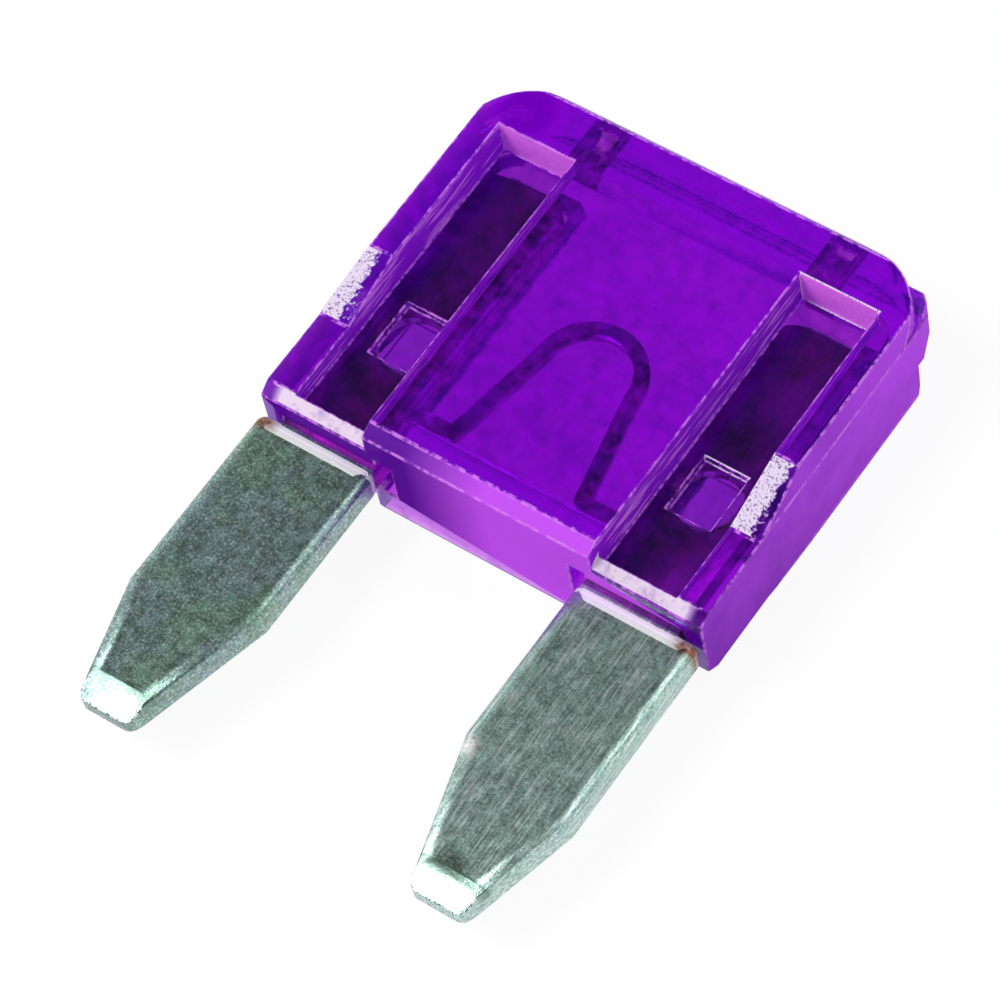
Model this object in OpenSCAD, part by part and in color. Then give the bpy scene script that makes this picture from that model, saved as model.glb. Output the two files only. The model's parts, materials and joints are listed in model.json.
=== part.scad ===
// Miniature automotive blade fuse: a moulded housing staked onto one stamped link.
// It lies on its back: X runs across the blades, +Y towards the head, +Z out of the
// front face. The origin is the middle of its bounding box, on the surface it lies on.

/* [Housing] */
// Width of the body at its middle
body_w = 10.9; // [10:0.1:12]
// Height of the body from its underside to its top
body_h = 9; // [8.6:0.1:10]
// Thickness of the body over its raised faces
body_t = 3; // [2.6:0.1:3.8]
// Mould's draft: how far each side slopes in towards the flat faces
draft_w = 0.15; // [0.05:0.05:0.3]
// Radius of the raised faces' top corners
top_r = 1.75; // [0.8:0.05:2.2]
// Bevel round the top edges
top_bevel = 0.12; // [0.05:0.01:0.2]
// Wall between the top of the body and the hollow inside it
head_wall = 1; // [0.8:0.1:1.2]

/* [Ears] */
// Drop from the top of the body to the top of the ears at its corners
ear_drop = 0.2; // [0.1:0.05:0.4]
// Height over which the ears lean in towards their top
ear_lean_h = 0.75; // [0.4:0.05:1]
// How far the ears lean in
ear_lean_w = 0.25; // [0.1:0.05:0.4]
// Cut across the ears' corners
ear_cut = 0.14; // [0.08:0.02:0.2]
// Depth of the ears behind the middle plane
ear_back = 0.1; // [0.05:0.05:0.6]

/* [Skirt] */
// Thickness of the thin skirt at each side
skirt_t = 2.1; // [1.8:0.1:2.4]
// Height of the thin skirt
skirt_h = 2.15; // [1.5:0.05:2.6]
// Height of the ramp from the skirt up to the raised face
ramp_h = 1.7; // [0.8:0.1:2]
// Height of the bevel along the skirt's lower edge, on which the pockets stand
skirt_bevel_h = 0.3; // [0.24:0.02:0.4]
// Depth of the bevel along the skirt's lower edge
skirt_bevel_d = 0.2; // [0.05:0.05:0.3]
// Height of the bevel along the centre panel's lower edge
panel_bevel_h = 0.34; // [0.1:0.02:0.5]
// Depth of the bevel along the centre panel's lower edge
panel_bevel_d = 0.18; // [0.05:0.01:0.3]

/* [Pockets] */
// Wall between the body's side and the pocket
rail_w = 0.75; // [0.65:0.05:1]
// Width of the pocket over each blade
pocket_w = 1.9; // [1.6:0.1:2]
// Height of the pocket
pocket_h = 7.4; // [6.6:0.1:7.6]
// Wall between the pocket's floor and the link
floor_t = 0.22; // [0.14:0.02:0.3]

/* [Stakes] */
// Height of the stakes above the underside
stake_y = 2.8; // [2:0.1:4]
// Distance from the body's side to the middle of the stake
stake_inset = 1.75; // [1.65:0.05:1.85]
// Diameter of the plug that fills the hole in the link
plug_d = 1.5; // [1:0.1:1.6]
// Width of the dent that the staking tool leaves
dent_w = 1.05; // [0.7:0.05:1.1]
// Length of the dent
dent_l = 1.4; // [0.8:0.05:1.5]
// Depth of the dent below the pocket's floor
dent_d = 0.14; // [0.06:0.01:0.14]

/* [Probe openings] */
// Width of the opening in the top over each blade
probe_w = 0.7; // [0.4:0.05:0.9]
// Depth of the opening through the thickness
probe_t = 0.7; // [0.5:0.05:0.7]

/* [Blades] */
// Distance from the body's side to a blade's outer edge
blade_inset = 0.01; // [0.01:0.01:0.1]
// Width of a blade
blade_w = 2.92; // [2.7:0.02:2.94]
// Thickness of a blade
blade_t = 0.8; // [0.7:0.05:0.9]
// Length of the blades below the housing
blade_len = 7.4; // [6:0.1:9]
// Length of the taper on a blade's inner edge
inner_taper = 3.35; // [2:0.05:4]
// Length of the taper on a blade's outer edge
outer_taper = 2.72; // [2:0.05:4]
// Width of a blade's tip
tip_w = 1.24; // [0.8:0.02:1.6]
// Outward offset of the tip from the blade's middle
tip_shift = 0.12; // [0:0.02:0.3]
// Radius of the blade's corners
blade_r = 0.22; // [0.1:0.02:0.3]
// Width of the edges that the press rolls over
roll_w = 0.34; // [0.1:0.02:0.4]
// Thickness left at a blade's edge
edge_t = 0.48; // [0.3:0.02:0.6]
// Length of the flattened tip
tip_len = 0.7; // [0.3:0.05:1]
// Thickness at the very tip
tip_t = 0.36; // [0.25:0.01:0.5]

/* [Link inside the housing] */
// Width of the link's neck inside the housing
neck_w = 2.3; // [2.1:0.05:2.35]
// Distance from the body's side to a neck's outer edge
neck_inset = 0.55; // [0.45:0.05:0.6]
// Thickness of the neck
neck_t = 0.66; // [0.5:0.02:0.68]
// Height that the neck reaches above the underside
neck_h = 7.2; // [6.4:0.1:7.4]
// Radius of the neck's top corners
neck_r = 0.6; // [0.2:0.1:0.9]
// Width of the thin element
element_w = 0.32; // [0.2:0.02:0.5]
// Thickness of the thin element
element_t = 0.24; // [0.1:0.02:0.4]
// Height of the element's feet above the underside
foot_y = 1.35; // [1.3:0.05:1.8]
// Distance between the feet of the arch
foot_span = 3.2; // [2.8:0.1:3.4]
// Distance between the legs at the springing of the arch
arch_span = 2.2; // [1.4:0.1:2.6]
// Height of the springing of the arch above the underside
arch_y = 3.95; // [3:0.05:4.5]

/* [Fit] */
// Gap all round the link inside the housing
fit_gap = 0.05; // [0.03:0.01:0.08]
// Gap between a blade's shoulder and the underside
shoulder_gap = 0.1; // [0.04:0.02:0.2]
// Width of the relief beside each blade's inner edge
relief_w = 0.4; // [0.2:0.05:0.5]
// Height of the relief
relief_h = 0.5; // [0.2:0.05:0.6]
// Depth of the relief through the thickness
relief_t = 1.1; // [1:0.1:1.4]
// Free space under the element's feet
foot_gap = 0.12; // [0.06:0.02:0.2]

/* [Hidden] */
$fn = 64;
// Overshoot of the cutting solids
cut = 1;
// The underside of the housing and the middle of the thickness, in the part's frame
underside_y = (blade_len - body_h) / 2;
middle_z = body_t / 2;
// Thickness of the slot that the neck lies in, and the height of the pocket's floor
slot_t = neck_t + 2 * fit_gap;
floor_z = slot_t / 2 + floor_t;
// Outer edge of the pocket, and the centre panel that is left between the two pockets
pocket_out = body_w / 2 - rail_w;
panel_w = 2 * (pocket_out - pocket_w);
// Middles of the right-hand stake, blade and neck, and the neck's inner edge
stake_x = body_w / 2 - stake_inset;
blade_x = body_w / 2 - blade_inset - blade_w / 2;
neck_x = body_w / 2 - neck_inset - neck_w / 2;
neck_in = neck_x - neck_w / 2;
// The hollow spans both necks and runs from just under the element's feet to the head
hollow_w = 2 * (neck_x + neck_w / 2 + fit_gap);
hollow_y = foot_y - element_w / 2 - foot_gap;
hollow_h = body_h - head_wall - hollow_y;
// The rolled edge is a quarter ellipse in a few steps: how far in, and how thick there
roll_angles = [0:22.5:90];
roll_steps = [for (a = roll_angles) [roll_w * (1 - cos(a)), edge_t + (blade_t - edge_t) * sin(a)]];

// Outline with rounded top corners, standing on y = 0
module arched(w, h, r) {
    translate([-w / 2, 0])
        square([w, h - r]);
    translate([r - w / 2, 0])
        square([w - 2 * r, h]);
    for (side = [-1, 1])
        translate([side * (w / 2 - r), h - r])
            circle(r);
}

// A side profile drawn in Y and Z, run across the width w
module across(w) {
    rotate([90, 0, 90])
        linear_extrude(w, center = true)
            children();
}

// A plate of thickness t round the middle plane
module plate(t) {
    linear_extrude(t, center = true)
        children();
}

// The front half of a symmetric side profile, mirrored to make the whole of it
module both_faces(half) {
    polygon(concat(half, [for (i = [len(half) - 1:-1:0]) [half[i][0], -half[i][1]]]));
}

// The right half of a symmetric outline, mirrored to make the whole of it
module both_sides(half) {
    polygon(concat(half, [for (i = [len(half) - 1:-1:0]) [-half[i][0], half[i][1]]]));
}

// The side profile of the ribs: bevel, thin skirt, ramp, raised face, top bevel
module rib_profile() {
    both_faces([
        [0, skirt_t / 2 - skirt_bevel_d],
        [skirt_bevel_h, skirt_t / 2],
        [skirt_h, skirt_t / 2],
        [skirt_h + ramp_h, body_t / 2],
        [body_h - top_bevel, body_t / 2],
        [body_h, body_t / 2 - top_bevel]
    ]);
}

// The side profile of the centre panel, which is raised right down to its foot
module panel_profile() {
    both_faces([
        [0, body_t / 2 - panel_bevel_d],
        [panel_bevel_h, body_t / 2],
        [skirt_h + ramp_h, body_t / 2]
    ]);
}

// The section across the width: square over the skirt's thickness, then drafted
module draft_profile() {
    both_sides([
        [body_w / 2 - draft_w, -body_t / 2],
        [body_w / 2, -skirt_t / 2],
        [body_w / 2, skirt_t / 2],
        [body_w / 2 - draft_w, body_t / 2]
    ]);
}

module raised_body() {
    intersection() {
        plate(body_t)
            arched(body_w, body_h, top_r);
        across(body_w)
            rib_profile();
        rotate([-90, 0, 0])
            linear_extrude(body_h)
                draft_profile();
    }
    across(panel_w)
        panel_profile();
}

// The thinner plate inside the body, whose top corners stand out as ears
module ears() {
    top = body_h - ear_drop;
    lean_x = body_w / 2 - ear_lean_w;
    translate([0, 0, -ear_back])
        linear_extrude(ear_back + skirt_t / 2)
            both_sides([
                [body_w / 2, skirt_h],
                [body_w / 2, top - ear_lean_h],
                [lean_x, top - ear_cut],
                [lean_x - ear_cut, top]
            ]);
}

// The pockets over both blades, on both faces
module pockets() {
    for (side = [-1, 1], face = [0, 1])
        mirror([0, 0, face])
            translate([side * (pocket_out - pocket_w / 2) - pocket_w / 2, skirt_bevel_h, floor_z])
                cube([pocket_w, pocket_h, body_t]);
}

module dents() {
    for (side = [-1, 1], face = [0, 1])
        mirror([0, 0, face])
            translate([side * stake_x, stake_y, floor_z - dent_d])
                linear_extrude(body_t)
                    square([dent_w, dent_l], center = true);
}

// The necks of the link, grown by gap and lengthened below the underside by run
module necks(gap, run) {
    for (side = [-1, 1])
        translate([side * neck_x, -run])
            arched(neck_w + 2 * gap, neck_h + gap + run, neck_r + gap);
}

// The space for the link: two slots, the hollow above them and the small reliefs
module link_space() {
    plate(slot_t) {
        necks(fit_gap, cut);
        translate([0, hollow_y])
            arched(hollow_w, hollow_h, neck_r);
    }
    for (side = [-1, 1])
        plate(relief_t)
            translate([side * (neck_in - relief_w / 2) - relief_w / 2, -cut])
                square([relief_w, relief_h + cut]);
}

// The plastic that is staked through the holes in the link
module plugs() {
    for (side = [-1, 1])
        translate([side * stake_x, stake_y])
            cylinder(h = slot_t + fit_gap, d = plug_d, center = true);
}

// The openings in the top, through which a probe reaches the link
module probe_openings() {
    for (side = [-1, 1])
        translate([side * (neck_in + probe_w / 2), neck_h, 0])
            rotate([-90, 0, 0])
                linear_extrude(body_h)
                    square([probe_w, probe_t], center = true);
}

// Lays what is drawn round the middle plane, from the underside up, in the part's frame
module placed() {
    translate([0, underside_y, middle_z])
        children();
}

module housing() {
    color([0.45, 0.1, 0.75, 0.7])
        placed() {
            difference() {
                union() {
                    raised_body();
                    ears();
                }
                pockets();
                dents();
                probe_openings();
                link_space();
            }
            difference() {
                plugs();
                dents();
            }
        }
}

// Outline of the right-hand blade, whose corners are rounded
module blade_outline() {
    offset(r = blade_r)
        offset(delta = -blade_r)
            polygon([
                [-blade_w / 2, -shoulder_gap],
                [-blade_w / 2, inner_taper - blade_len],
                [tip_shift - tip_w / 2, -blade_len],
                [tip_shift + tip_w / 2, -blade_len],
                [blade_w / 2, outer_taper - blade_len],
                [blade_w / 2, -shoulder_gap]
            ]);
}

// The blade's side profile, which thins towards the tip
module tip_profile() {
    both_faces([
        [-blade_len - cut, tip_t / 2 - (blade_t - tip_t) / 2 * cut / tip_len],
        [tip_len - blade_len, blade_t / 2],
        [cut, blade_t / 2]
    ]);
}

// One blade with rolled edges
module blade() {
    intersection() {
        hull()
            for (step = roll_steps)
                plate(step[1])
                    offset(delta = -step[0], $fn = 24)
                        blade_outline($fn = 24);
        across(2 * blade_w)
            tip_profile();
    }
}

// The thin element: a foot and a leg on each side, joined by a half-round arch
module element() {
    plate(element_t) {
        for (side = [-1, 1]) {
            leg = [side * arch_span / 2, arch_y];
            foot = [side * foot_span / 2, foot_y];
            root = [side * (neck_in + neck_r), foot_y];
            bar(leg, foot);
            bar(foot, root);
        }
        translate([0, arch_y])
            half_ring();
    }
}

// A straight strip of the element from one point to another, with round ends
module bar(from, to) {
    run = to - from;
    translate(from)
        rotate(atan2(run[1], run[0])) {
            translate([0, -element_w / 2])
                square([norm(run), element_w]);
            circle(d = element_w);
        }
    translate(to)
        circle(d = element_w);
}

module half_ring() {
    difference() {
        circle(d = arch_span + element_w);
        circle(d = arch_span - element_w);
        translate([-arch_span, -2 * arch_span])
            square(2 * arch_span);
    }
}

module fuse_link() {
    color([0.6, 0.66, 0.62])
        placed() {
            difference() {
                plate(neck_t)
                    necks(0, shoulder_gap + roll_w + blade_r);
                for (side = [-1, 1])
                    translate([side * stake_x, stake_y])
                        cylinder(h = body_t, d = plug_d + 2 * fit_gap, center = true);
            }
            for (side = [0, 1])
                mirror([side, 0, 0])
                    translate([blade_x, 0])
                        blade();
            element();
        }
}

housing();
fuse_link();
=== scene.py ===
"""Looks of a miniature blade fuse: a translucent violet housing on a plated zinc link."""
import json
import math

import bmesh
import bpy
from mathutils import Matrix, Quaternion, Vector

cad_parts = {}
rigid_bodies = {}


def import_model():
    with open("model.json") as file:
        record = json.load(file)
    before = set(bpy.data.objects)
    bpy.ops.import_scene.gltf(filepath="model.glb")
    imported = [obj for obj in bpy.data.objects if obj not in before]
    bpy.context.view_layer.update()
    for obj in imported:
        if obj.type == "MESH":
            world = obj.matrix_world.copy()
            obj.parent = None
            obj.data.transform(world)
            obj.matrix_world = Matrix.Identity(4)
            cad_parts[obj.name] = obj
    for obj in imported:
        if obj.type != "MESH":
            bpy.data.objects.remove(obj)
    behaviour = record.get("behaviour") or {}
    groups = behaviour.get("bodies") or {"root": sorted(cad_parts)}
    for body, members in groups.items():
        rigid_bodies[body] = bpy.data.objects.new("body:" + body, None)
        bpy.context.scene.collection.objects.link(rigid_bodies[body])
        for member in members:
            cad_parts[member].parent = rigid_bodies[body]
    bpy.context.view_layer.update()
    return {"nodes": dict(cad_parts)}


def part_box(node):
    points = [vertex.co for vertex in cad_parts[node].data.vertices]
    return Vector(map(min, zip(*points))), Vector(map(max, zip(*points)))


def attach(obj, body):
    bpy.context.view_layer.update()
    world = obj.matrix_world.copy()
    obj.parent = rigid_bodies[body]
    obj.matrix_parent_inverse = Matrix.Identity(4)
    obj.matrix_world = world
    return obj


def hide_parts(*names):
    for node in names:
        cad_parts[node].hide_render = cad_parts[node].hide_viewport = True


MM = 0.001

# The camera, from a fit to the photograph
CAMERA_TARGET = Vector((-0.10, 0.0, 1.5)) * MM
CAMERA_AZIMUTH = math.radians(46.69)
CAMERA_ELEVATION = math.radians(57.74)
CAMERA_ROLL = math.radians(13.84)
CAMERA_DISTANCE = 101.67 * MM
CAMERA_LENS = 180.6
CAMERA_SENSOR = 36
CAMERA_CLIP = (1 * MM, 2)

# Points closer than this are one point before the edges are softened
MERGE = 0.025 * MM
# Faces that turn by less than this are one flat face
FLAT_ANGLE = math.radians(0.5)
# Upright facets that turn by less than this belong to one rounding
ROUNDING_ANGLE = math.radians(30)
# Softened edges: how wide, and from which angle between two faces
PLASTIC_EDGE = 0.04 * MM
PLASTIC_SHARP = math.radians(8)
METAL_EDGE = 0.02 * MM
METAL_SHARP = math.radians(50)

# The clear plastic: how it bends and reflects light, the colour that it lets through,
# and how fast it absorbs the rest
PLASTIC_IOR = 1.55
PLASTIC_SPECULAR = 0.35
PLASTIC_SPECULAR_TINT = (0.85, 0.5, 1.0, 1)
PLASTIC_CLEAR = (0.775, 0.0, 0.93, 1)
PLASTIC_DENSITY = 2200.0
# The tints of its surface: clear, cloudy, and a painted shade in the dents over the stakes and on the floors
# of the pockets
TINT_CLEAR = (1.0, 0.80, 1.0, 1)
TINT_CLOUDY = (0.74, 0.48, 0.86, 1)
TINT_DENT_SHADE = (0.34, 0.12, 0.62, 1)
TINT_FLOOR_SHADE = (0.40, 0.24, 0.56, 1)
# The haze in it, and a dense spot in one top corner, in millimetres
PLASTIC_HAZE = (0.46, 0.0, 1.0, 1)
PLASTIC_BLOT = (0.18, 0.0, 0.52, 1)
BLOT_AT = (-4.35, 7.45, 3.0)
# The colours of its scattering places, several of them painted highlights or painted shade, and how much of
# their light goes through and not back
# The pockets' side walls: streaked, the lighter streaks partly a painted highlight
WALL_TONES = ((0.38, 0.02, 0.78, 1), (0.95, 0.34, 1.0, 1))
OUTER_TONES = ((0.29, 0.05, 0.58, 1), (0.64, 0.11, 1.0, 1))
FOOT_TONES = ((0.12, 0.005, 0.36, 1), (0.70, 0.11, 1.0, 1))
# Painted shade in the openings in the head
HOLE_SHADE = (0.10, 0.0, 0.24, 1)
# A painted highlight on the top walls of the pockets
TOP_WALL_HIGHLIGHT = (1.0, 0.24, 1.0, 1)
# Painted highlight beads along the plastic's edges
BEAD_HIGHLIGHT = (0.86, 0.30, 1.0, 1)
# A painted highlight on the bevels at the foot
LIP_HIGHLIGHT = (1.0, 0.86, 0.98, 1)
# A painted reflection on the ramps, and the dark pits in it
RAMP_REFLECTION = (1.0, 0.90, 1.0, 1)
PIT_TONE = (0.22, 0.10, 0.32, 1)
THROUGH = 0.4
# Where the painted reflection on each ramp ends in X, and where the painted highlight on the bevels at the
# foot fades out beside the middle
LEFT_RAMP_END = (-4.66, -4.60)
RIGHT_RAMP_END = (5.50, 5.56)
LIP_END = (5.00, 5.25)

# The metal's colours
METAL_GREEN = (0.25, 0.45, 0.36, 1)
METAL_BLUE = (0.28, 0.42, 0.46, 1)
METAL_DARK = (0.13, 0.21, 0.17, 1)
METAL_LIGHT = (0.64, 0.92, 0.83, 1)
METAL_SPECK = (0.95, 1.0, 0.98, 1)
METAL_PIT = (0.07, 0.09, 0.08, 1)
METAL_BARE = (0.22, 0.07, 0.03, 1)
METAL_BRIGHT = (1.0, 1.0, 1.0, 1)
METAL_BLACK = (0.03, 0.03, 0.03, 1)
# A painted highlight on the rolled shoulders of the blades
METAL_HIGHLIGHT_BAND = (1.0, 1.0, 0.97, 1)
# The painted shade of the metal inside the housing, tinted violet like the light through the plastic
INSIDE_SHADE_TONES = ((0.16, 0.0, 0.24, 1), (0.95, 0.0, 1.0, 1))
# A dark smudge near the right tip
SMUDGE_AT = (4.02, -7.48, 1.9)
# A painted highlight where the right blade begins to taper
HIGHLIGHT_AT = (2.78, -5.1, 1.88)
# A scratch across the left blade: Y at X = 0, slope, start and end in X, and half its width
SCRATCH_Y = -1.52
SCRATCH_SLOPE = -0.1
SCRATCH_START = (-3.50, -3.40)
SCRATCH_END = (-2.86, -2.80)
SCRATCH_WIDTH = (0.010, 0.024)
# The dark upper part of a flattened tip: where it fades in and ends in Y, and its depth in Z
TIP_FADE = (-7.90, -7.52)
TIP_END = (-7.50, -7.44)
TIP_DEPTH = (1.60, 1.62)
# The depth of the bumps in both materials
BUMP_DEPTH = 0.02 * MM

# The floor's colour, and how much of it is plain white when it is seen
FLOOR_COLOUR = (0.9, 0.9, 0.9, 1)
WHITE = (1, 1, 1, 1)
WHITE_SEEN = 0.92
# The sky: full up to one height, and falling to the dim share at the other
SKY_HEIGHTS = (0.5, 0.8)
SKY_DIM = 0.09

# The soft lamp: the direction it stands in, its distance, width and power
KEY_TOWARDS = Vector((-0.39, -0.34, 0.855)).normalized()
KEY_DISTANCE = 0.5
KEY_SIZE = 0.2
KEY_POWER = 2.0
# A weaker one on the right, which lights the rolled edges on that side
SIDE_TOWARDS = Vector((0.36, 0.37, 0.86)).normalized()
SIDE_POWER = 0.35

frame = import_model()

# Places that the marks and the paint go by, in millimetres, with levels counted from the middle of the fuse
HOUSING_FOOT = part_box("housing")[0][1] / MM
MIDDLE_Z = 1.5
PANEL_SIDE = 2.8
POCKET_SIDE = 4.7
OUTER_SIDE = 4.9
PANEL_FOOT_END = HOUSING_FOOT + 0.4
BEVEL_END = HOUSING_FOOT + 0.5
POCKET_FROM = HOUSING_FOOT + 0.3
POCKET_TOP_LEVEL = 1.49
POCKET_WALL_LEVEL = 0.6
FLOOR_LEVELS = (0.5, 1.0)
DENT_LEVELS = (0.4, 0.5)
HEAD_FROM = HOUSING_FOOT + 7.5
PROBE_FROM = HOUSING_FOOT + 8.02
PROBE_SIDES = (2.0, 4.0)
PROBE_LEVEL = 0.4
HOLLOW_ENDS = (HOUSING_FOOT + 0.05, HOUSING_FOOT + 8.95)
HOLLOW_LEVEL = 0.42
SHOULDER_LENGTH = 0.45
BARE_SIDES = (4.80, 5.12)
BARE_ENDS = (HOUSING_FOOT - 0.52, HOUSING_FOOT - 0.36)
INSIDE_FROM = (HOUSING_FOOT - 0.13, HOUSING_FOOT - 0.08)


def material(name):
    """A new node material: the material, its node tree and its Principled shader."""
    made = bpy.data.materials.new(name)
    made.use_nodes = True
    return made, made.node_tree, made.node_tree.nodes["Principled BSDF"]


def add(tree, kind, inputs=None, **settings):
    """Adds one shader node, with its settings and its inputs' values or links."""
    node = tree.nodes.new(kind)
    for name, value in settings.items():
        setattr(node, name, value)
    for name, value in (inputs or {}).items():
        if isinstance(value, bpy.types.NodeSocket):
            tree.links.new(value, node.inputs[name])
        else:
            node.inputs[name].default_value = value
    return node


def millimetres(tree, stretch=(1, 1, 1)):
    """The point on the surface in millimetres, with each axis divided by its stretch."""
    place = add(tree, "ShaderNodeTexCoord").outputs["Object"]
    scale = [1 / MM / s for s in stretch]
    return add(tree, "ShaderNodeMapping", {"Vector": place, "Scale": scale}).outputs["Vector"]


def noise(tree, place, scale, detail=2.0, roughness=0.5):
    """Noise with so many waves a millimetre."""
    wave = add(tree, "ShaderNodeTexNoise", {
        "Vector": place, "Scale": scale, "Detail": detail, "Roughness": roughness})
    return wave.outputs["Fac"]


def ranged(tree, value, low, high, to_low=0.0, to_high=1.0):
    """Maps low..high to to_low..to_high, held at both ends."""
    node = add(tree, "ShaderNodeMapRange", {
        "Value": value, "From Min": low, "From Max": high, "To Min": to_low, "To Max": to_high})
    return node.outputs["Result"]


def blended(tree, amount, first, second):
    """Mixes two colours, given as colours or as links."""
    node = tree.nodes.new("ShaderNodeMix")
    node.data_type = "RGBA"
    for socket, value in ((node.inputs["Factor"], amount), (node.inputs[6], first), (node.inputs[7], second)):
        if isinstance(value, bpy.types.NodeSocket):
            tree.links.new(value, socket)
        else:
            socket.default_value = value
    return node.outputs[2]


def marked(tree, name):
    """The mark that the mesh code gave to the faces under this name."""
    return add(tree, "ShaderNodeAttribute", attribute_name=name).outputs["Fac"]


def worked(tree, operation, first, second=0.0):
    """One sum on values or links."""
    return add(tree, "ShaderNodeMath", {0: first, 1: second}, operation=operation).outputs[0]


def times(tree, first, second):
    """The product of two values or links."""
    return worked(tree, "MULTIPLY", first, second)


def aside(tree, parts):
    """How far to the left or right of the middle a point is."""
    return worked(tree, "ABSOLUTE", parts["X"])


def near(tree, place, point, full, none):
    """1 up to one distance from a point, falling to 0 at the other."""
    distance = add(tree, "ShaderNodeVectorMath", {0: place, 1: point}, operation="DISTANCE").outputs["Value"]
    return ranged(tree, distance, full, none, 1.0, 0.0)


def painted(tree, colour, layers):
    """Lays colours over one another, each with its mask, and gives the colour and how solid it is."""
    solid = 0.0
    for mask, paint in layers:
        colour = blended(tree, mask, colour, paint)
        solid = worked(tree, "MAXIMUM", mask, solid)
    return colour, solid


def bumped(tree, shader, height, strength):
    """Gives the shader small bumps of this height, and returns their normal."""
    bump = add(tree, "ShaderNodeBump", {"Height": height, "Strength": strength, "Distance": BUMP_DEPTH})
    tree.links.new(bump.outputs["Normal"], shader.inputs["Normal"])
    return bump.outputs["Normal"]


def clear_tint(tree, parts, cloud):
    """The tint of the clear plastic, which is a little cloudy, with a painted shade that makes it darker
    towards the lower left and paler towards the upper right.
    """
    # Painted shade: darker towards the lower left, paler towards the upper right
    corner = ranged(tree, worked(tree, "ADD", parts["X"], parts["Y"]), -2.0, 9.0, 0.35, -0.25)
    cloudy = worked(tree, "ADD", ranged(tree, cloud, 0.3, 0.7, 0.1, 0.9), corner)
    tint = blended(tree, ranged(tree, cloudy, 0.0, 1.0), TINT_CLEAR, TINT_CLOUDY)
    # A painted shade in the dents over the stakes and on the floors of the pockets
    tint = blended(tree, marked(tree, "shaded_dent"), tint, TINT_DENT_SHADE)
    return blended(tree, marked(tree, "shaded_floor"), tint, TINT_FLOOR_SHADE)


def haze_layers(tree, place, mottle, cloud, grain):
    """The haze in the clear plastic, which the floors of the pockets don't have, and the dense spot."""
    patches = ranged(tree, mottle, 0.42, 0.72, 0.0, 0.30)
    drifts = ranged(tree, cloud, 0.45, 0.7, 0.0, 0.15)
    elsewhere = ranged(tree, marked(tree, "shaded_floor"), 0.0, 1.0, 1.0, 0.0)
    haze = times(tree, worked(tree, "ADD", patches, drifts), elsewhere)
    blot = times(tree, near(tree, place, BLOT_AT, 0.5, 1.1), ranged(tree, grain, 0.3, 0.6, 0.75, 0.95))
    return (haze, PLASTIC_HAZE), (blot, PLASTIC_BLOT)


def wall_layers(tree, parts, mottle, cloud, grain):
    """The pockets' streaked walls, partly a painted highlight, the outer sides, the panel's foot, the
    openings in painted shade, and the top walls with a painted highlight.
    """
    streak = noise(tree, millimetres(tree, stretch=(1, 12, 1)), 9.0, 3.0, 0.6)
    # Streaked side walls, their lighter streaks partly a painted highlight
    wall = times(tree, marked(tree, "sided"), 0.95)
    outside = times(tree, marked(tree, "outer"), 0.97)
    foot = times(tree, marked(tree, "footed"), 0.97)
    # Painted shade in the openings in the head
    hole_shade = times(tree, marked(tree, "probed"), ranged(tree, mottle, 0.35, 0.65, 0.5, 0.9))
    # A painted highlight on the top walls of the pockets
    top_wall_highlight = times(tree, marked(tree, "topped"), ranged(tree, grain, 0.3, 0.5, 0.85, 1.0))
    raised = worked(tree, "ADD", times(tree, parts["Y"], 0.12), times(tree, cloud, 1.2))
    wall_tone = blended(tree, ranged(tree, streak, 0.52, 0.62), *WALL_TONES)
    outer_tone = blended(tree, ranged(tree, raised, 0.3, 1.4), *OUTER_TONES)
    foot_tone = blended(tree, ranged(tree, parts["X"], -1.8, 0.2), *FOOT_TONES)
    return (
        (wall, wall_tone), (outside, outer_tone), (foot, foot_tone),
        (hole_shade, HOLE_SHADE), (top_wall_highlight, TOP_WALL_HIGHLIGHT))


def edge_layers(tree, place, parts, mottle):
    """Painted highlights: beaded along the edges, and pale on the bevels at the foot."""
    beads = noise(tree, place, 6.0, 2.0, 0.6)
    # Painted highlight beads along the edges
    bead_highlight = times(tree, marked(tree, "edge_wear_and_highlight"), ranged(tree, beads, 0.42, 0.56, 0.1, 0.85))
    # A painted highlight on the bevels at the foot
    lip_highlight = times(tree, marked(tree, "lipped"), ranged(tree, mottle, 0.30, 0.50, 0.7, 1.0))
    lip_highlight = times(tree, lip_highlight, ranged(tree, aside(tree, parts), *LIP_END, 1.0, 0.0))
    return (bead_highlight, BEAD_HIGHLIGHT), (lip_highlight, LIP_HIGHLIGHT)


def ramp_layers(tree, place, parts, grain):
    """The ramps, which are rough and carry a pale painted reflection up to a ragged border on their right,
    with dark pits in it.
    """
    border = worked(tree, "ADD", parts["X"], times(tree, grain, 0.7))
    left = ranged(tree, border, *LEFT_RAMP_END, 1.0, 0.0)
    right = times(tree, ranged(tree, parts["X"], 0.0, 0.1), ranged(tree, border, *RIGHT_RAMP_END, 1.0, 0.0))
    # A pale painted reflection on the ramps
    ramp_reflection = times(tree, marked(tree, "ramped"), worked(tree, "MAXIMUM", left, right))
    fine = noise(tree, place, 16.0, 3.0, 0.7)
    pitted = times(tree, ramp_reflection, ranged(tree, fine, 0.40, 0.45, 1.0, 0.0))
    return (ramp_reflection, RAMP_REFLECTION), (pitted, PIT_TONE)


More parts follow.
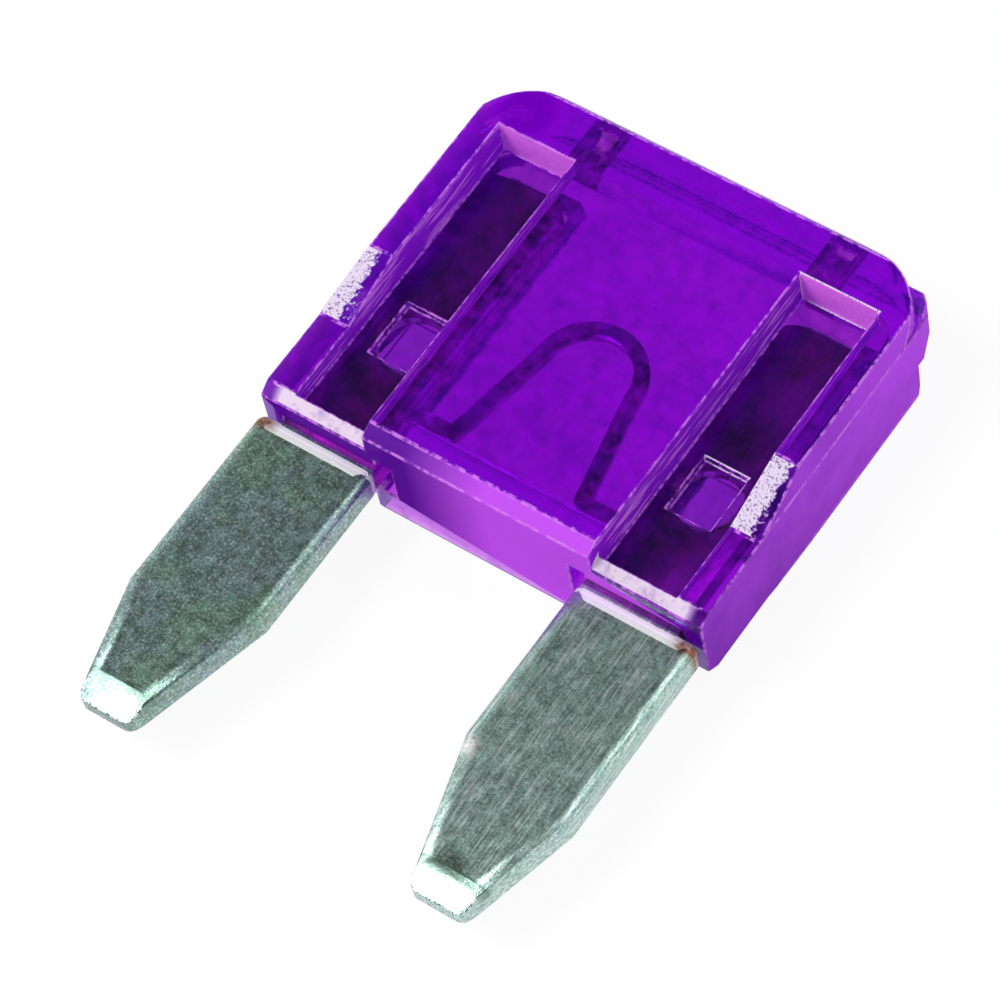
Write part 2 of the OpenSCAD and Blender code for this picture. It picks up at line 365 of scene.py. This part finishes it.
def violet_plastic():
    """Absorbing clear plastic with cloudy and rough places, painted shade in its dents, pocket floors and
    openings, and painted highlights on its ramps, walls and edges.
    """
    made, tree, shader = material("clear violet plastic")
    shader.inputs["IOR"].default_value = PLASTIC_IOR
    shader.inputs["Transmission Weight"].default_value = 1.0
    shader.inputs["Specular IOR Level"].default_value = PLASTIC_SPECULAR
    shader.inputs["Specular Tint"].default_value = PLASTIC_SPECULAR_TINT
    place = millimetres(tree)
    parts = add(tree, "ShaderNodeSeparateXYZ", {"Vector": place}).outputs
    wave = noise(tree, place, 1.5, 3.0)
    mottle = noise(tree, place, 3.0, 5.0, 0.65)
    cloud = noise(tree, place, 0.9, 6.0, 0.65)
    grain = noise(tree, place, 9.0, 3.0, 0.7)
    layers = (
        *haze_layers(tree, place, mottle, cloud, grain),
        *wall_layers(tree, parts, mottle, cloud, grain),
        *edge_layers(tree, place, parts, mottle),
        *ramp_layers(tree, place, parts, grain))
    tint, solid = painted(tree, PLASTIC_HAZE, layers)
    tree.links.new(clear_tint(tree, parts, cloud), shader.inputs["Base Color"])
    tree.links.new(ranged(tree, wave, 0.3, 0.7, 0.03, 0.10), shader.inputs["Roughness"])
    normal = bumped(tree, shader, worked(tree, "ADD", wave, times(tree, mottle, 0.4)), 0.25)
    # The layers scatter the light, some of it through and the rest back
    back = add(tree, "ShaderNodeBsdfDiffuse", {"Color": tint, "Normal": normal})
    through = add(tree, "ShaderNodeBsdfTranslucent", {"Color": tint, "Normal": normal})
    scattered = add(tree, "ShaderNodeMixShader", {0: THROUGH, 1: back.outputs[0], 2: through.outputs[0]})
    whole = add(tree, "ShaderNodeMixShader", {0: solid, 1: shader.outputs[0], 2: scattered.outputs[0]})
    tree.links.new(whole.outputs[0], tree.nodes["Material Output"].inputs["Surface"])
    absorb = add(tree, "ShaderNodeVolumeAbsorption", {"Color": PLASTIC_CLEAR, "Density": PLASTIC_DENSITY})
    tree.links.new(absorb.outputs["Volume"], tree.nodes["Material Output"].inputs["Volume"])
    return made


def plated_tone(tree, parts, blotch, mottle, speck, scratch):
    """Green and blue patches with specks and lengthwise scratches, which the right blade has more of."""
    right = ranged(tree, parts["X"], -0.5, 0.5)
    strong = ranged(tree, right, 0.0, 1.0, 0.15, 0.7)
    dark_lines = times(tree, ranged(tree, scratch, 0.30, 0.48, 0.6, 0.0), strong)
    light_lines = times(tree, ranged(tree, scratch, 0.54, 0.70), strong)
    tone = blended(tree, ranged(tree, blotch, 0.42, 0.58), METAL_GREEN, METAL_BLUE)
    tone = blended(tree, ranged(tree, mottle, 0.35, 0.65, 0.0, 0.8), tone, METAL_DARK)
    tone = blended(tree, times(tree, right, 0.4), tone, METAL_LIGHT)
    tone = blended(tree, ranged(tree, speck, 0.28, 0.48, 0.8, 0.0), tone, METAL_PIT)
    tone = blended(tree, ranged(tree, speck, 0.52, 0.72, 0.0, 0.8), tone, METAL_SPECK)
    tone = blended(tree, dark_lines, tone, METAL_PIT)
    return blended(tree, light_lines, tone, METAL_SPECK)


def spotted(tree, tone, place, speck):
    """A dark smudge and a painted highlight on the right blade."""
    smudge = times(tree, near(tree, place, SMUDGE_AT, 0.18, 0.44), ranged(tree, speck, 0.35, 0.65, 1.0, 0.4))
    highlight_spot = times(tree, near(tree, place, HIGHLIGHT_AT, 0.10, 0.30), ranged(tree, speck, 0.30, 0.50))
    tone = blended(tree, smudge, tone, METAL_PIT)
    return blended(tree, highlight_spot, tone, METAL_BRIGHT)


def scratched(tree, tone, parts):
    """One scratch across the left blade."""
    slant = worked(tree, "SUBTRACT", parts["Y"], times(tree, parts["X"], SCRATCH_SLOPE))
    apart = worked(tree, "ABSOLUTE", worked(tree, "SUBTRACT", slant, SCRATCH_Y))
    started = ranged(tree, parts["X"], *SCRATCH_START)
    line = times(tree, started, ranged(tree, parts["X"], *SCRATCH_END, 1.0, 0.0))
    line = times(tree, line, ranged(tree, apart, *SCRATCH_WIDTH, 1.0, 0.0))
    return blended(tree, line, tone, METAL_BRIGHT)


def tipped(tree, tone, parts, mottle):
    """The flattened tips, which turn darker towards the blade."""
    tip = times(tree, ranged(tree, parts["Y"], *TIP_FADE), ranged(tree, parts["Y"], *TIP_END, 1.0, 0.0))
    tip = times(tree, tip, ranged(tree, parts["Z"], *TIP_DEPTH))
    return blended(tree, times(tree, tip, ranged(tree, mottle, 0.35, 0.6, 0.65, 0.95)), tone, METAL_DARK)


def edged(tree, tone, scratch):
    """The worn edges, bright with wear and a painted highlight, with dark nicks."""
    wear_and_highlight = marked(tree, "edge_wear_and_highlight")
    # Worn edges brightened, partly a painted highlight
    tone = blended(tree, times(tree, wear_and_highlight, ranged(tree, scratch, 0.45, 0.52)), tone, METAL_BRIGHT)
    return blended(tree, times(tree, wear_and_highlight, ranged(tree, scratch, 0.40, 0.44, 0.8, 0.0)), tone, METAL_BLACK)


def bared(tree, tone, parts, mottle):
    """The outer corners of the shoulders, where the plating is off."""
    corner = ranged(tree, aside(tree, parts), *BARE_SIDES)
    corner = times(tree, corner, ranged(tree, parts["Y"], *BARE_ENDS))
    return blended(tree, times(tree, corner, ranged(tree, mottle, 0.3, 0.55, 0.4, 1.0)), tone, METAL_BARE)


def shaded(tree, tone, parts, blotch):
    """The metal inside the housing, in a painted shade tinted violet like the light through the plastic."""
    inside = ranged(tree, parts["Y"], *INSIDE_FROM)
    violet = blended(tree, ranged(tree, blotch, 0.38, 0.62), *INSIDE_SHADE_TONES)
    return blended(tree, times(tree, inside, 0.85), tone, violet)


def plated_zinc():
    """Dull plated metal with patches, specks, scratches, worn edges, painted highlights and a painted shade
    inside the housing.
    """
    made, tree, shader = material("dull plated zinc")
    place = millimetres(tree)
    parts = add(tree, "ShaderNodeSeparateXYZ", {"Vector": place}).outputs
    blotch = noise(tree, place, 0.8, 4.0, 0.6)
    mottle = noise(tree, place, 4.0, 4.0, 0.7)
    speck = noise(tree, place, 18.0, 3.0, 0.75)
    scratch = noise(tree, millimetres(tree, stretch=(1, 16, 1)), 26.0, 2.0, 0.5)
    highlight_band = marked(tree, "shoulder_highlight")
    tone = plated_tone(tree, parts, blotch, mottle, speck, scratch)
    tone = spotted(tree, tone, place, speck)
    tone = scratched(tree, tone, parts)
    tone = tipped(tree, tone, parts, mottle)
    tone = edged(tree, tone, scratch)
    # A painted highlight on the blades' shoulders, which are also made less metallic
    tone = blended(tree, highlight_band, tone, METAL_HIGHLIGHT_BAND)
    tone = bared(tree, tone, parts, mottle)
    # Painted shade on the metal inside the housing
    tone = shaded(tree, tone, parts, blotch)
    tree.links.new(tone, shader.inputs["Base Color"])
    tree.links.new(ranged(tree, highlight_band, 0.0, 1.0, 1.0, 0.2), shader.inputs["Metallic"])
    tree.links.new(ranged(tree, mottle, 0.3, 0.7, 0.37, 0.28), shader.inputs["Roughness"])
    bumped(tree, shader, worked(tree, "ADD", speck, mottle), 0.22)
    return made


def level(middle):
    """How far a face is from the middle of the fuse, towards its front or its back."""
    return abs(middle.z - MIDDLE_Z)


def sloped(normal):
    """True for the ramps and bevels, which look partly down the fuse."""
    return -0.7 < normal.y < -0.2


def in_pocket(middle):
    """True inside the pockets over the blades."""
    beside = PANEL_SIDE - 0.01 < abs(middle.x) < POCKET_SIDE + 0.01
    return beside and level(middle) < POCKET_TOP_LEVEL and middle.y > POCKET_FROM


# Marks on the housing's faces, by the middle and the normal of each face in millimetres
def ramped(middle, normal):
    """The ramps in the sides, which are rough and get a pale painted reflection."""
    return abs(middle.x) > PANEL_SIDE and middle.y > BEVEL_END and sloped(normal)


def lipped(middle, normal):
    """The bevels at the foot beside the panel, which get a painted highlight."""
    return abs(middle.x) > PANEL_SIDE and middle.y < BEVEL_END and sloped(normal)


def topped(middle, normal):
    """The top walls of the pockets, which get a pale painted highlight."""
    return in_pocket(middle) and normal.y < -0.9 and level(middle) > POCKET_WALL_LEVEL


def sided(middle, normal):
    """The side walls of the pockets, which are streaked, partly with a painted highlight."""
    return in_pocket(middle) and abs(normal.x) > 0.9 and level(middle) > POCKET_WALL_LEVEL


def shaded_floor(middle, normal):
    """The floors of the pockets, which get a painted shade."""
    return in_pocket(middle) and abs(normal.z) > 0.9 and FLOOR_LEVELS[0] < level(middle) < FLOOR_LEVELS[1]


def probed(middle, normal):
    """The walls of the two openings in the head, which get a painted shade."""
    beside = PROBE_SIDES[0] < abs(middle.x) < PROBE_SIDES[1]
    return beside and middle.y > PROBE_FROM and level(middle) < PROBE_LEVEL and abs(normal.y) < 0.5


def outer(middle, normal):
    """The outer sides, up to the corners of the head."""
    return abs(middle.x) > OUTER_SIDE and abs(normal.x) > 0.5 and abs(normal.z) < 0.9


def footed(middle, normal):
    """The panel's foot."""
    return abs(middle.x) < PANEL_SIDE and middle.y < PANEL_FOOT_END and normal.y < -0.2


def shaded_dent(middle, normal):
    """The floors of the dents over the stakes, which get a painted shade."""
    return DENT_LEVELS[0] < level(middle) < DENT_LEVELS[1] and abs(normal.z) > 0.9


# Marks on the link's faces
def shoulder_highlight(middle, normal):
    """The rolled shoulders of the blades, which get a painted highlight."""
    if not -SHOULDER_LENGTH < middle.y - HOUSING_FOOT < 0:
        return 0.0
    return 1.0 if normal.y > 0.25 else 0.8 * (normal.y > 0.05)


def enclosed(edge):
    """True in the hollow inside the housing, where edges stay sharp."""
    point = (edge.verts[0].co + edge.verts[1].co) / 2 / MM
    return level(point) < HOLLOW_LEVEL and HOLLOW_ENDS[0] < point.y < HOLLOW_ENDS[1]


def rounded(edge):
    """True between two facets of an upright rounding."""
    return edge.calc_face_angle() < ROUNDING_ANGLE and all(abs(f.normal.z) < 0.3 for f in edge.link_faces)


def pierced(edge):
    """True in the head's upper walls, which two openings pass, so that they can't be whole faces."""
    return all(abs(f.normal.y) > 0.99 and f.calc_center_median().y > HEAD_FROM * MM for f in edge.link_faces)


def flattened(shape):
    """Merges the points that lie together, and makes flat faces whole."""
    bmesh.ops.remove_doubles(shape, verts=shape.verts, dist=MERGE)
    inner = [edge for edge in shape.edges if not pierced(edge)]
    bmesh.ops.dissolve_limit(
        shape, angle_limit=FLAT_ANGLE, verts=shape.verts, edges=inner, use_dissolve_boundaries=False)


def bevelled(shape, width, sharp_angle):
    """Softens the sharp edges, and marks the faces that this makes, for wear and painted highlights on the
    edges.
    """
    sharp = [
        edge for edge in shape.edges
        if edge.is_manifold and edge.calc_face_angle() > sharp_angle
        and not enclosed(edge) and not rounded(edge)]
    low = [min(v.co[i] for v in shape.verts) for i in range(3)]
    high = [max(v.co[i] for v in shape.verts) for i in range(3)]
    edge_wear_and_highlight = shape.faces.layers.float.new("edge_wear_and_highlight")
    edges = bmesh.ops.bevel(
        shape, geom=sharp, offset=width, offset_type="OFFSET", segments=2, profile=0.5,
        affect="EDGES", clamp_overlap=False)
    for face in edges["faces"]:
        face[edge_wear_and_highlight] = 1.0
    # A bevel that has too little room may leave the CAD's box, so its points are held inside
    for vert in shape.verts:
        vert.co = [min(max(vert.co[i], low[i]), high[i]) for i in range(3)]


def softened(node, paint, width, sharp_angle, marks):
    """A piece from a CAD node's mesh, with its flat faces whole and its sharp edges softened."""
    mesh = frame["nodes"][node].data.copy()
    mesh.materials.clear()
    mesh.materials.append(paint)
    shape = bmesh.new()
    shape.from_mesh(mesh)
    flattened(shape)
    bevelled(shape, width, sharp_angle)
    for face in shape.faces:
        face.smooth = True
    shape.to_mesh(mesh)
    shape.free()
    for mark in marks:
        values = mesh.attributes.new(mark.__name__, "FLOAT", "FACE").data
        for face in mesh.polygons:
            values[face.index].value = mark(face.center / MM, face.normal)
    piece = bpy.data.objects.new("fuse_" + node, mesh)
    bpy.context.scene.collection.objects.link(piece)
    weighted = piece.modifiers.new("level", "WEIGHTED_NORMAL")
    weighted.mode = "FACE_AREA"
    weighted.weight = 100
    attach(piece, "root")
    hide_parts(node)


def camera():
    """The camera of the photograph."""
    back = Vector((
        math.sin(CAMERA_AZIMUTH) * math.cos(CAMERA_ELEVATION),
        -math.cos(CAMERA_AZIMUTH) * math.cos(CAMERA_ELEVATION),
        math.sin(CAMERA_ELEVATION)))
    data = bpy.data.cameras.new("camera")
    data.lens = CAMERA_LENS
    data.sensor_width = CAMERA_SENSOR
    data.clip_start, data.clip_end = CAMERA_CLIP
    made = bpy.data.objects.new("camera", data)
    made.rotation_mode = "QUATERNION"
    made.location = CAMERA_TARGET + CAMERA_DISTANCE * back
    made.rotation_quaternion = (-back).to_track_quat("-Z", "Y") @ Quaternion((0, 0, 1), -CAMERA_ROLL)
    bpy.context.scene.collection.objects.link(made)
    bpy.context.scene.camera = made


def floor():
    """A pale floor, which is white where it is seen, in metal and plastic too, but for the shadow."""
    made, tree, shader = material("floor")
    tree.nodes.remove(shader)
    path = add(tree, "ShaderNodeLightPath")
    direct = worked(tree, "MAXIMUM", path.outputs["Is Camera Ray"], path.outputs["Is Glossy Ray"])
    seen = worked(tree, "MAXIMUM", direct, path.outputs["Is Transmission Ray"])
    share = times(tree, seen, WHITE_SEEN)
    matt = add(tree, "ShaderNodeBsdfDiffuse", {"Color": FLOOR_COLOUR})
    glow = add(tree, "ShaderNodeEmission", {"Color": WHITE, "Strength": 1.0})
    mixed = add(tree, "ShaderNodeMixShader", {0: share, 1: matt.outputs[0], 2: glow.outputs[0]})
    tree.links.new(mixed.outputs[0], tree.nodes["Material Output"].inputs["Surface"])
    bpy.ops.mesh.primitive_plane_add(size=2)
    plane = bpy.context.object
    plane.name = "floor"
    plane.data.materials.append(made)


def lamp(name, towards, power):
    """A square soft lamp that looks at the fuse."""
    data = bpy.data.lights.new(name, "AREA")
    data.size = KEY_SIZE
    data.energy = power
    made = bpy.data.objects.new(name, data)
    made.location = CAMERA_TARGET + KEY_DISTANCE * towards
    made.rotation_mode = "QUATERNION"
    made.rotation_quaternion = (-towards).to_track_quat("-Z", "Y")
    bpy.context.scene.collection.objects.link(made)


def world():
    """A white studio that is dimmer overhead."""
    made = bpy.data.worlds.new("studio")
    made.use_nodes = True
    tree = made.node_tree
    place = add(tree, "ShaderNodeTexCoord").outputs["Generated"]
    height = add(tree, "ShaderNodeSeparateXYZ", {"Vector": place}).outputs["Z"]
    shade = ranged(tree, height, *SKY_HEIGHTS, 1.0, SKY_DIM)
    tree.links.new(shade, tree.nodes["Background"].inputs["Strength"])
    tree.nodes["Background"].inputs["Color"].default_value = WHITE
    bpy.context.scene.world = made


for item in list(bpy.data.objects):
    if item.type in ("CAMERA", "LIGHT") or item.name == "Cube":
        bpy.data.objects.remove(item)
bpy.context.scene.view_settings.view_transform = "Standard"
camera()
floor()
world()
lamp("key", KEY_TOWARDS, KEY_POWER)
lamp("side", SIDE_TOWARDS, SIDE_POWER)
PLASTIC_MARKS = (ramped, lipped, topped, sided, shaded_floor, probed, outer, footed, shaded_dent)
softened("housing", violet_plastic(), PLASTIC_EDGE, PLASTIC_SHARP, PLASTIC_MARKS)
softened("fuse_link", plated_zinc(), METAL_EDGE, METAL_SHARP, (shoulder_highlight,))
